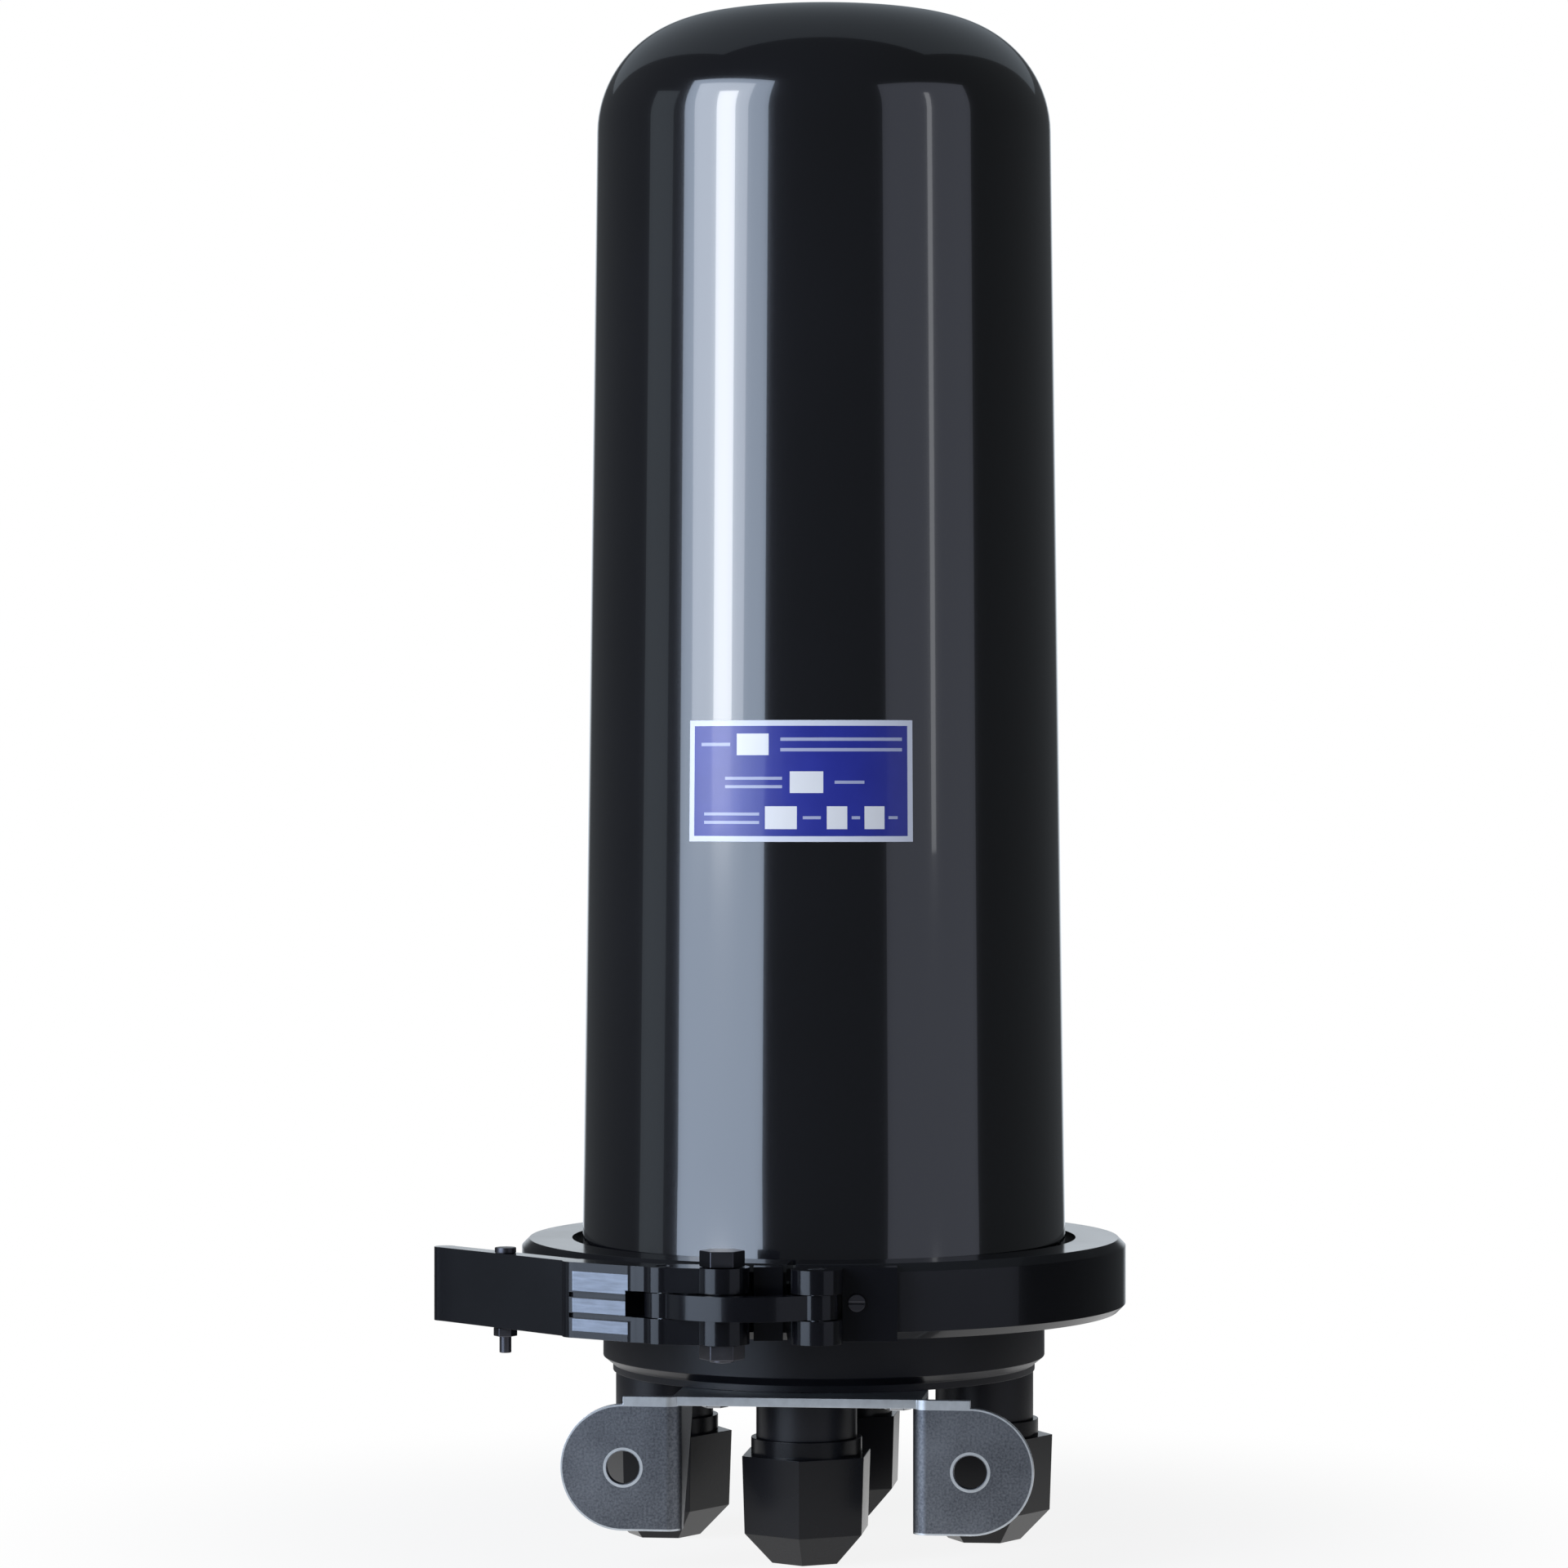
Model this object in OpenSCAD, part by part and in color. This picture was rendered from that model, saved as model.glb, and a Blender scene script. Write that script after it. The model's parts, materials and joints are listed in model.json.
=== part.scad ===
// Dome splice closure: a tapered dome over a four-port base, held by a hinged V-clamp with an over-centre lever.
// Every module is drawn about the dome's axis, with z = 0 at the face where the dome meets the base.
// place() then moves it so that the origin is midway between the bracket's two holes, on the face of its ears.

/* [Dome] */
// Outer radius of the dome just above its flange
dome_foot_r = 84; // [80:0.5:86]
// Outer radius of the dome where the shoulder starts
dome_top_r = 79; // [74:0.5:83]
// Height of the straight tapered wall, from the flange face to the shoulder
dome_straight_h = 396; // [360:1:460]
// Radius of the rounded shoulder
shoulder_r = 40; // [20:1:50]
// Rise of the crowned top
crown_h = 1.2; // [0.5:0.1:4]
// Wall thickness of the dome
dome_wall = 3.2; // [2:0.1:4.5]

/* [Label] */
// Width of the label, measured straight across
label_w = 74.5; // [40:0.5:90]
// Height of the label
label_h = 40.5; // [20:0.5:60]
// Thickness of the label
label_t = 0.5; // [0.3:0.1:1]
// Height of the label's middle above the flange face
label_z = 171; // [80:1:300]

/* [Flanges] */
// Width of the dome's and the base's flanges, outwards from the dome's wall
flange_w = 13; // [12:0.25:14]
// Thickness of each flange at its rim
flange_rim = 6; // [5:0.25:7]
// Slope of the clamped faces, degrees
flange_slope = 15; // [10:0.5:18]
// Distance from the flange's rim to the middle of the sealing ring
seal_inset = 6; // [5:0.25:7]
// Section radius of the sealing ring
seal_section_r = 1.9; // [1.5:0.1:2.2]

/* [Base] */
// Distance from the flange's rim in to the side of the base's collar
collar_inset = 20.2; // [18:0.2:21]
// Depth of the collar's lower edge under the flange face
collar_depth = 28.3; // [26:0.1:32]
// Depth of the base's underside under the flange face
base_depth = 33.4; // [31.4:0.2:40]
// Thickness of the base's floor
floor_t = 6; // [4:0.5:8]
// Wall thickness of the base's side
base_wall = 5; // [3.5:0.25:6]

/* [Ports] */
// Radius of the circle that the ports sit on
port_circle_r = 56; // [54:0.5:57]
// Outer radius of a port tube
port_tube_r = 17; // [16.5:0.1:17.5]
// Length of the port tube's smooth part under the base
port_smooth_h = 16.6; // [12:0.2:22]
// Length of the port tube's threaded part
port_thread_h = 18; // [15:0.5:20]
// Wall thickness of the port tube at its thread
port_wall = 3; // [2:0.1:4]
// Radius of the hole that a cable passes through above the seal
port_throat_r = 12; // [10:0.25:12.5]

/* [Gland nuts] */
// Width of a gland nut across its flats
nut_af = 41; // [40:0.5:44]
// Height of the round collar on a gland nut
nut_collar_h = 5.5; // [3:0.5:8]
// Height of the hexagon of a gland nut
nut_hex_h = 26; // [24:0.5:30]
// Height of the tapered nose of a gland nut
nut_nose_h = 10.5; // [6:0.5:14]
// Radius of the nut's flat end
nut_end_r = 12.6; // [12:0.1:16]
// Radius of the nut's cable hole
nut_hole_r = 10; // [9.6:0.1:11]
// Radius of the blanking plug
plug_r = 9; // [7:0.1:9.2]

/* [Clamp] */
// Thickness of the clamp's band, outwards from the flange's rim
clamp_band = 8; // [7.5:0.25:9]
// Height of the clamp ring
clamp_h = 25; // [24:0.5:28]
// Depth of the clamp's lips over the flanges
clamp_lip = 9.4; // [8:0.2:9.6]
// Chamfer on the clamp's outer edges
clamp_edge = 2.6; // [1:0.2:3.5]
// Angle by which the latch is turned from the bracket's side, degrees
clamp_turn = 6; // [0:1:10]

/* [Latch] */
// Radius of the fulcrum bolt
fulcrum_pin_r = 4; // [3:0.1:4.5]
// Radius of the lever pin, the catch pin and the hinge pin
small_pin_r = 3; // [2.5:0.1:3.2]
// Radius of the lever's eyes at the fulcrum
lever_eye_r = 9; // [8:0.25:9.5]
// Thickness of the lever's handle, seen from above
handle_t = 7; // [5:0.25:9]
// Depth of the grooves along the lever's outer face
groove_depth = 1.2; // [0.4:0.1:1.6]
// Height of each of those grooves
groove_h = 1.6; // [1:0.1:2.4]
// Width of the link's bow, seen from above
link_w = 5.6; // [4.5:0.1:6]
// Rise of the link's bow over its chord
link_bow = 13; // [12.5:0.25:15]

/* [Bracket] */
// Thickness of the bracket's sheet
sheet_t = 3; // [2:0.25:3.5]
// Distance from the dome's axis to the face of the ears
ear_reach = 89; // [87:0.5:96]
// Distance from the middle of the bracket to each ear's hole
ear_hole_x = 57.8; // [56:0.2:64]
// Radius of an ear's round end
ear_r = 21; // [18:0.5:22]
// Radius of the fixing hole in an ear
ear_hole_r = 5.5; // [4:0.25:6.5]
// Distance from the middle of the bracket to the outer face of each flange
bracket_half_w = 41.5; // [40:0.25:43]
// Depth of the ears' holes under the flange face
hole_drop = 57; // [54:0.5:60]
// Depth of the bracket's plate, from the ears' face backwards
bracket_plate_l = 66; // [60:1:70]

/* [Splice trays] */
// Width of a tray
tray_w = 96; // [86:1:100]
// Height of a tray
tray_h = 300; // [240:1:310]
// Thickness of a tray
tray_t = 9; // [7:0.5:9.5]
// Distance from one tray to the next
tray_pitch = 11; // [10:0.5:11]
// Wall thickness of a tray
tray_wall = 1.6; // [1.2:0.1:2]

/* [Hidden] */
$fn = 96;
eps = 0.01;

// Running clearance on the radius of every pin and bolt in its hole
pin_play = 0.05;
// Clearance between moving faces that slide past each other
slide_gap = 0.3;
// Clearance between the clamp's groove and the flanges
clamp_play = 0.2;
// Thickness of the glue under the label
label_gap = 0.02;

// Dome
flange_r = dome_foot_r + flange_w;
seal_ring_r = flange_r - seal_inset;
dome_crown_z = dome_straight_h + shoulder_r + crown_h;
flange_cone = tan(flange_slope);

// Base and ports, depths counted downwards from the flange face
collar_r = flange_r - collar_inset;
boss_screw_x = 20;
boss_screw_y = [-16, 12];
bracket_bolt_x = 31;
bracket_bolt_y = [-port_circle_r + 20, -port_circle_r - 1];
saddle_r = 31;
floor_top_z = -base_depth + floor_t;
thread_top_z = -base_depth - port_smooth_h;
tube_end_z = thread_top_z - port_thread_h;
thread_r = port_tube_r - 0.5;
body_r = port_circle_r + port_tube_r + 0.4;
tube_bore_r = thread_r - port_wall;
seal_seat_z = thread_top_z + 2;
nut_hex_z = thread_top_z - nut_collar_h;
nut_nose_z = nut_hex_z - nut_hex_h;
nut_end_z = nut_nose_z - nut_nose_h;
nut_corner_r = nut_af / 2 / cos(30);
nut_bore_r = thread_r + 0.1;
nut_collar_r = port_tube_r + 1.7;
nut_shelf_z = tube_end_z - 10;
ring_top_z = tube_end_z + 2;

// Clamp
clamp_half_h = clamp_h / 2;
clamp_groove_r = flange_r + 1.5;
clamp_r = flange_r + clamp_band;
clamp_lip_r = flange_r - clamp_lip;
pad_root_r = clamp_groove_r - 10;
knuckle_h = 8;
knuckle_half = knuckle_h / 2;
lug_half_h = clamp_half_h - 0.4;
arm_z = knuckle_half + slide_gap;
arm_h = lug_half_h - arm_z;
hinge_y = clamp_r + 8;
hinge_knuckle_r = 7.5;
hinge_gap_deg = 1.2;
latch_gap_start = 263.3;
latch_gap_end = 264.8;

// Latch, in the clamp's own frame, with the dome's axis at [0, 0] and the latch towards -Y
latch_scale = clamp_r / 105;
fulcrum = [-33.2, -112] * latch_scale;
lever_joint = [-52.3, -108.2] * latch_scale;
catch_point = [-2.4, -115] * latch_scale;
lever_bend = [-60, -104.4] * latch_scale;
lever_elbow = [-81, -90.2] * latch_scale;
lever_tip = [-129, -39] * latch_scale;
lock_point = [-107, -62.6] * latch_scale;
lug_screw_point = [10.7, -110] * latch_scale;
tongue_r = 7.3;
catch_ear_r = 8.5;
lever_joint_r = 7;
link_eye_r = 6.4;
link_hook_r = 7;
web_start_x = -65 * latch_scale;
groove_levels = [-5.8, 1];
bolt_head_af = 13;
bolt_head_h = 5.3;
fulcrum_nut_h = 5;

// Trays, counted from the carrier forwards
tray_count = 4;
carrier_y = 22;
carrier_t = 2;
tray_foot_z = 44;
carrier_top_z = tray_foot_z + tray_h + 28;
carrier_w = tray_w - 4;
window_r = 18;
window_pitch = 0.24 * tray_h;
strap_z = tray_foot_z + 0.85 * tray_h;
strap_h = 16;
strap_t = 1;
basket_z = 50;
basket_h = 0.77 * tray_h;
basket_deep = 24;
basket_wall = 2;
pin_z = 34;
tray_pin_r = 1.5;
tray_front_y = carrier_y - 2.5 - (tray_count - 1) * tray_pitch - tray_t;
cheek_x = 36;
cheek_t = 4;

port_turns = [270, 0, 90, 180];

module place() {
    translate([0, ear_reach, hole_drop]) children();
}

module clamp_frame() {
    place() rotate([0, 0, clamp_turn]) children();
}

module at_port(i) {
    place() rotate([0, 0, port_turns[i]]) translate([port_circle_r, 0, 0]) children();
}

// A straight bar of width w from point a to point b, seen from above
module bar(a, b, w) {
    d = b - a;
    translate(a) rotate([0, 0, atan2(d[1], d[0])]) translate([0, -w / 2]) square([norm(d), w]);
}

// A hexagonal prism of width af across its flats
module hex(af, h) {
    cylinder(r = af / 2 / cos(30), h = h, $fn = 6);
}

// Height of a flange's sloping face at radius r
function flange_face(r) = flange_rim + (flange_r - r) * flange_cone;

// Outline of the dome's outer or inner surface, shrunk inwards by t
module dome_outline(t) {
    foot_r = dome_foot_r - t;
    top_r = dome_top_r - t;
    arc_x = dome_top_r - shoulder_r;
    polygon([[0, 0], [foot_r, 0], [foot_r, flange_face(dome_foot_r)], [top_r, dome_straight_h], [0, dome_straight_h]]);
    intersection() {
        translate([arc_x, dome_straight_h]) circle(r = shoulder_r - t);
        translate([arc_x - eps, dome_straight_h - eps]) square(shoulder_r);
    }
    polygon([
        [0, dome_straight_h - eps], [arc_x, dome_straight_h - eps],
        [arc_x, dome_straight_h + shoulder_r - t], [0, dome_crown_z - t]
    ]);
}

module dome() {
    color([0.05, 0.05, 0.06]) place() rotate_extrude() difference() {
        union() {
            dome_outline(0);
            polygon([
                [0, 0], [flange_r, 0], [flange_r, flange_rim],
                [dome_foot_r - eps, flange_face(dome_foot_r)], [0, flange_face(dome_foot_r)]
            ]);
        }
        translate([0, -eps]) dome_outline(dome_wall);
        square([dome_foot_r - dome_wall, 1]);
    }
}

function dome_r(z) = dome_foot_r
    + (dome_top_r - dome_foot_r) * (z - flange_face(dome_foot_r)) / (dome_straight_h - flange_face(dome_foot_r));

module label() {
    low_z = label_z - label_h / 2;
    high_z = label_z + label_h / 2;
    sweep = 2 * asin(label_w / 2 / dome_r(label_z));
    color([0.13, 0.18, 0.5]) place() rotate([0, 0, 270 - sweep / 2]) rotate_extrude(angle = sweep)
        polygon([
            [dome_r(low_z) + label_gap, low_z], [dome_r(low_z) + label_t, low_z],
            [dome_r(high_z) + label_t, high_z], [dome_r(high_z) + label_gap, high_z]
        ]);
}

module base() {
    color([0.07, 0.07, 0.08]) difference() {
        union() {
            place() rotate_extrude() polygon([
                [0, 0], [flange_r, 0], [flange_r, -flange_rim], [dome_foot_r - 2, -flange_face(dome_foot_r - 2)],
                [collar_r, -flange_face(dome_foot_r - 2) - 3], [collar_r, -collar_depth],
                [body_r, -collar_depth - 2.7], [body_r, -base_depth],
                [0, -base_depth]
            ]);
            for (i = [0 : len(port_turns) - 1]) at_port(i) {
                translate([0, 0, thread_top_z]) cylinder(r = port_tube_r, h = port_smooth_h + 1);
                translate([0, 0, tube_end_z]) cylinder(r = thread_r, h = port_thread_h + 1);
            }
        }
        place() difference() {
            translate([0, 0, floor_top_z]) cylinder(r = collar_r - base_wall, h = base_depth);
            base_bosses();
        }
        place() rotate_extrude() translate([seal_ring_r - seal_section_r - 0.1, -2 * seal_section_r - 0.1])
            square([2 * seal_section_r + 0.2, 2 * seal_section_r + 1]);
        for (i = [0 : len(port_turns) - 1]) at_port(i) {
            translate([0, 0, -base_depth * 2]) cylinder(r = port_throat_r, h = base_depth * 2 + 1);
            translate([0, 0, tube_end_z - 1]) cylinder(r = tube_bore_r, h = seal_seat_z - tube_end_z + 1);
        }
        place() bolt_places() translate([0, 0, -base_depth - 1]) cylinder(r = 2.5, h = 10);
        place() foot_screw_places() translate([0, 0, floor_top_z - 3]) cylinder(r = 2, h = 20);
        place() clamp_screw_places() translate([0, 0, floor_top_z - 4]) cylinder(r = 1.6, h = 20);
    }
}

// Bosses that stand on the base's floor and take the bracket's bolts and the carrier's screws
module base_bosses() {
    bolt_places() translate([0, 0, floor_top_z - 1]) cylinder(r = 5.5, h = 9);
    foot_screw_places() translate([0, 0, floor_top_z - 1]) cylinder(r = 4.5, h = 6);
}

module bolt_places() {
    for (x = [-bracket_bolt_x, bracket_bolt_x], y = bracket_bolt_y) translate([x, y, 0]) children();
}

module foot_screw_places() {
    for (x = [-boss_screw_x, boss_screw_x], y = boss_screw_y) translate([x, y, 0]) children();
}

module clamp_screw_places() {
    for (a = port_turns) rotate([0, 0, a]) translate([saddle_r + 4, 0, 0]) children();
}

module seal_ring() {
    color([0.12, 0.12, 0.12]) place() rotate_extrude()
        translate([seal_ring_r, -seal_section_r - 0.05]) circle(r = seal_section_r, $fn = 32);
}

// Section of the V-clamp: a band with two sloping lips that draw the flanges together
module clamp_section() {
    lip_z = flange_face(clamp_lip_r) + clamp_play;
    root_z = flange_face(clamp_groove_r) + clamp_play;
    polygon([
        [clamp_r, clamp_edge - clamp_half_h], [clamp_r, clamp_half_h - clamp_edge],
        [clamp_r - clamp_edge, clamp_half_h], [clamp_lip_r, clamp_half_h],
        [clamp_lip_r, lip_z], [clamp_groove_r, root_z], [clamp_groove_r, -root_z], [clamp_lip_r, -lip_z],
        [clamp_lip_r, -clamp_half_h], [clamp_r - clamp_edge, -clamp_half_h]
    ]);
}

module clamp_arc(start, end) {
    rotate([0, 0, start]) rotate_extrude(angle = end - start) clamp_section();
}

// A block on the ring from its band outwards to radius y, kept out of the groove
module ring_pad(x0, x1, y, z0, z1) {
    difference() {
        translate([x0, -y, z0]) cube([x1 - x0, y - pad_root_r, z1 - z0]);
        cylinder(r = clamp_groove_r + 1, h = 100, center = true);
    }
}

module clamp_half_fixed() {
    color([0.08, 0.08, 0.09]) clamp_frame() difference() {
        union() {
            clamp_arc(90 + hinge_gap_deg, latch_gap_start);
            translate([fulcrum[0], fulcrum[1], -knuckle_half]) cylinder(r = tongue_r, h = knuckle_h);
            ring_pad(fulcrum[0] - tongue_r, fulcrum[0] + tongue_r, -fulcrum[1], -knuckle_half, knuckle_half);
            ring_pad(-23 * latch_scale, -13.4 * latch_scale, clamp_r + 3.5, -lug_half_h, lug_half_h);
            translate([0, hinge_y, -knuckle_half]) cylinder(r = hinge_knuckle_r, h = knuckle_h);
            mirror([0, 1, 0]) ring_pad(-hinge_knuckle_r, -1.8, hinge_y, -knuckle_half, knuckle_half);
        }
        translate([fulcrum[0], fulcrum[1], -50]) cylinder(r = fulcrum_pin_r + pin_play, h = 100);
        translate([0, hinge_y, -50]) cylinder(r = small_pin_r + pin_play, h = 100);
    }
}

module clamp_half_hinged() {
    color([0.08, 0.08, 0.09]) clamp_frame() difference() {
        union() {
            clamp_arc(latch_gap_end - 360, 90 - hinge_gap_deg);
            for (z = [-lug_half_h, arm_z]) {
                translate([catch_point[0], catch_point[1], z]) cylinder(r = catch_ear_r, h = arm_h);
                ring_pad(-9.2 * latch_scale, 6.1 * latch_scale, -catch_point[1], z, z + arm_h);
                translate([0, hinge_y, z]) cylinder(r = hinge_knuckle_r, h = arm_h);
                mirror([0, 1, 0]) ring_pad(1.8, hinge_knuckle_r, hinge_y, z, z + arm_h);
            }
            ring_pad(6 * latch_scale, 24 * latch_scale, -lug_screw_point[1], -lug_half_h, lug_half_h);
        }
        translate([catch_point[0], catch_point[1], -50]) cylinder(r = small_pin_r + pin_play, h = 100);
        translate([0, hinge_y, -50]) cylinder(r = small_pin_r + pin_play, h = 100);
        translate([lug_screw_point[0], lug_screw_point[1] - 2, 0.6]) rotate([-90, 0, 0]) cylinder(r = 1.6, h = 9);
    }
}

module clamp_hinge_pin() {
    color([0.6, 0.6, 0.62]) clamp_frame() translate([0, hinge_y, -lug_half_h - 0.6]) {
        cylinder(r = small_pin_r, h = 2 * lug_half_h + 1.2);
        translate([0, 0, 2 * lug_half_h + 0.7]) cylinder(r = small_pin_r + 1.8, h = 1.4);
    }
}

module fulcrum_bolt() {
    color([0.16, 0.16, 0.17]) clamp_frame() translate([fulcrum[0], fulcrum[1], 0]) {
        translate([0, 0, -clamp_half_h - fulcrum_nut_h - 1]) cylinder(r = fulcrum_pin_r, h = clamp_h + fulcrum_nut_h + 1.2);
        translate([0, 0, clamp_half_h + 0.1]) hex(bolt_head_af, bolt_head_h);
    }
}

module fulcrum_nut() {
    color([0.16, 0.16, 0.17]) clamp_frame()
        translate([fulcrum[0], fulcrum[1], -clamp_half_h - 0.1 - fulcrum_nut_h]) difference() {
            hex(bolt_head_af, fulcrum_nut_h);
            translate([0, 0, -1]) cylinder(r = fulcrum_pin_r + pin_play, h = fulcrum_nut_h + 2);
        }
}

// Outline of the lever, seen from above; its rounds stand a little proud of the bars between them
module lever_outline() {
    arm_r = lever_joint_r - 1.5;
    proud = 0.25;
    translate(fulcrum) circle(r = lever_eye_r);
    translate(lever_joint) circle(r = lever_joint_r);
    translate(lever_bend) circle(r = arm_r);
    translate(lever_elbow) circle(r = arm_r);
    translate(lever_tip) circle(r = handle_t / 2 + proud);
    bar(fulcrum, lever_joint, 2 * (lever_joint_r - proud));
    bar(lever_joint, lever_bend, 2 * (arm_r - proud));
    bar(lever_bend, lever_elbow, 2 * (arm_r - proud));
    bar(lever_elbow, lever_tip, handle_t);
}

// Strip cut along the lever's outer face by a groove, seen from above
module lever_groove() {
    along = lever_elbow - lever_bend;
    out = [along[1], -along[0]] / norm(along) * -(lever_joint_r - 1.5);
    bar(lever_bend + out, lever_elbow + out, 2 * groove_depth);
}

module lever() {
    color([0.09, 0.09, 0.1]) clamp_frame() difference() {
        translate([0, 0, -clamp_half_h]) linear_extrude(clamp_h) lever_outline();
        translate([web_start_x, -clamp_r - 35, -arm_z]) cube([60, 60, 2 * arm_z]);
        for (z = groove_levels) translate([0, 0, z]) linear_extrude(groove_h) lever_groove();
        translate([fulcrum[0], fulcrum[1], -50]) cylinder(r = fulcrum_pin_r + pin_play, h = 100);
        translate([lever_joint[0], lever_joint[1], -50]) cylinder(r = small_pin_r + pin_play, h = 100);
        translate([lock_point[0], lock_point[1], -50]) cylinder(r = 2 + pin_play, h = 100);
    }
}

module lever_pin() {
    color([0.6, 0.6, 0.62]) clamp_frame() translate([lever_joint[0], lever_joint[1], -clamp_half_h + 0.4])
        cylinder(r = small_pin_r, h = clamp_h - 0.8);
}

module catch_pin() {
    color([0.6, 0.6, 0.62]) clamp_frame() translate([catch_point[0], catch_point[1], -clamp_half_h + 0.4])
        cylinder(r = small_pin_r, h = clamp_h - 0.8);
}

// Outline of the link from the lever's pin at [0, 0] to the catch at [chord, 0], with its open jaw
module link_outline(chord) {
    half = chord / 2;
    bow_r = (half * half + link_bow * link_bow) / (2 * link_bow);
    jaw_r = small_pin_r + 0.9;
    jaw_shift = 0.55;
    difference() {
        union() {
            intersection() {
                translate([half, bow_r - link_bow]) difference() {
                    circle(r = bow_r + link_w / 2);
                    circle(r = bow_r - link_w / 2);
                }
                translate([0.8, -bow_r]) square([chord - 1.6, bow_r + 1.5]);
            }
            circle(r = link_eye_r);
            translate([chord, 0]) circle(r = link_hook_r);
        }
        circle(r = small_pin_r + pin_play);
        translate([chord + jaw_shift, jaw_shift]) circle(r = jaw_r);
        translate([chord + jaw_shift - jaw_r + 0.1, jaw_shift]) square([2 * jaw_r, 20]);
        translate([chord, 0.6]) square(20);
    }
}

module link() {
    chord = catch_point - lever_joint;
    color([0.1, 0.1, 0.11]) clamp_frame() translate([lever_joint[0], lever_joint[1], -knuckle_half])
        rotate([0, 0, atan2(chord[1], chord[0])]) linear_extrude(knuckle_h) link_outline(norm(chord));
}

module lock_screw() {
    color([0.35, 0.36, 0.38]) clamp_frame() translate([lock_point[0], lock_point[1], 0]) {
        translate([0, 0, -clamp_half_h - 8.5]) cylinder(r = 2, h = clamp_h + 8.6);
        translate([0, 0, clamp_half_h + 0.05]) cylinder(r = 3.6, h = 1.8);
        translate([0, 0, -clamp_half_h - 2.9]) hex(7, 2.85);
    }
}

module lug_screw() {
    color([0.35, 0.36, 0.38]) clamp_frame() translate([lug_screw_point[0], lug_screw_point[1] - 0.05, 0.6]) rotate([-90, 0, 0]) {
        cylinder(r = 1.5, h = 6);
        mirror([0, 0, 1]) difference() {
            cylinder(r = 2.8, h = 1.6);
            translate([-4, -0.4, 0.9]) cube([8, 0.8, 2]);
        }
    }
}

// Plan of one bracket flange and the ear that it carries, with a rounded bend between them
module ear_plan() {
    inner_x = bracket_half_w - sheet_t;
    bend = sheet_t + 2;
    difference() {
        union() {
            translate([inner_x, -ear_reach + bend]) square([sheet_t, 34]);
            translate([inner_x + bend, -ear_reach]) square([ear_hole_x + ear_r - inner_x - bend, sheet_t]);
            translate([inner_x + bend, -ear_reach + bend]) intersection() {
                circle(r = bend);
                translate([-bend, -bend]) square(bend);
            }
        }
        translate([inner_x + bend, -ear_reach + bend]) circle(r = bend - sheet_t);
    }
}

module bracket_side() {
    top_z = -base_depth;
    low_z = -hole_drop - ear_r;
    intersection() {
        translate([0, 0, low_z - 1]) linear_extrude(top_z - low_z + 1) ear_plan();
        union() {
            translate([ear_hole_x, -ear_reach - 1, -hole_drop]) rotate([-90, 0, 0]) cylinder(r = ear_r, h = sheet_t + 2);
            translate([0, -ear_reach - 1, low_z]) cube([ear_hole_x, sheet_t + 6, top_z - low_z]);
            translate([bracket_half_w + 1, 0, 0]) rotate([90, 0, -90]) linear_extrude(sheet_t + 2) polygon([
                [ear_reach, top_z], [ear_reach - 30, top_z], [ear_reach - 30, top_z - 9], [ear_reach - 7, low_z],
                [ear_reach, low_z]
            ]);
        }
    }
}

module bracket() {
    plate_back_y = bracket_plate_l - ear_reach;
    color([0.55, 0.57, 0.6]) place() difference() {
        union() {
            for (s = [0, 1]) mirror([s, 0, 0]) bracket_side();
            translate([-bracket_half_w, -ear_reach + 1.5, -base_depth - sheet_t])
                cube([2 * bracket_half_w, 28.5, sheet_t]);
            translate([-bracket_half_w + sheet_t, -ear_reach + 20, -base_depth - sheet_t])
                cube([2 * (bracket_half_w - sheet_t), bracket_plate_l - 20, sheet_t]);
        }
        translate([0, -port_circle_r, -base_depth - sheet_t - 1]) cylinder(r = port_tube_r + 0.6, h = sheet_t + 2);
        for (s = [0, 1]) mirror([s, 0, 0]) translate([port_circle_r, 0, -base_depth - sheet_t - 1])
            cylinder(r = port_tube_r + 1.2, h = sheet_t + 2);
        bolt_places() translate([0, 0, -base_depth - sheet_t - 1]) cylinder(r = 2.75, h = sheet_t + 2);
        for (x = [-ear_hole_x, ear_hole_x]) translate([x, -ear_reach - 1, -hole_drop]) rotate([-90, 0, 0])
            cylinder(r = ear_hole_r, h = sheet_t + 2);
    }
}

module bracket_bolts() {
    color([0.75, 0.76, 0.78]) place() bolt_places() {
        translate([0, 0, -base_depth - sheet_t - 4]) hex(8, 3.95);
        translate([0, 0, -base_depth - sheet_t - 0.1]) cylinder(r = 2.45, h = 11);
    }
}

module gland_nut(i) {
    color([0.09, 0.09, 0.1]) at_port(i) difference() {
        union() {
            translate([0, 0, nut_hex_z]) cylinder(r = nut_collar_r, h = nut_collar_h);
            translate([0, 0, nut_nose_z]) cylinder(r1 = nut_corner_r - 0.9, r2 = nut_corner_r, h = nut_hex_h, $fn = 6);
            translate([0, 0, nut_end_z]) cylinder(r1 = nut_end_r, r2 = nut_corner_r - 0.9, h = nut_nose_h, $fn = 6);
        }
        translate([0, 0, tube_end_z - slide_gap]) cylinder(r = nut_bore_r, h = 50);
        translate([0, 0, nut_shelf_z]) cylinder(r = tube_bore_r + 0.2, h = 50);
        translate([0, 0, nut_end_z - 1]) cylinder(r = nut_hole_r, h = 50);
    }
}

module thrust_ring(i) {
    color([0.75, 0.75, 0.72]) at_port(i) translate([0, 0, nut_shelf_z + 0.05]) difference() {
        cylinder(r = tube_bore_r - 0.2, h = ring_top_z - nut_shelf_z - 0.05);
        translate([0, 0, -1]) cylinder(r = plug_r + 0.3, h = 50);
    }
}

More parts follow.
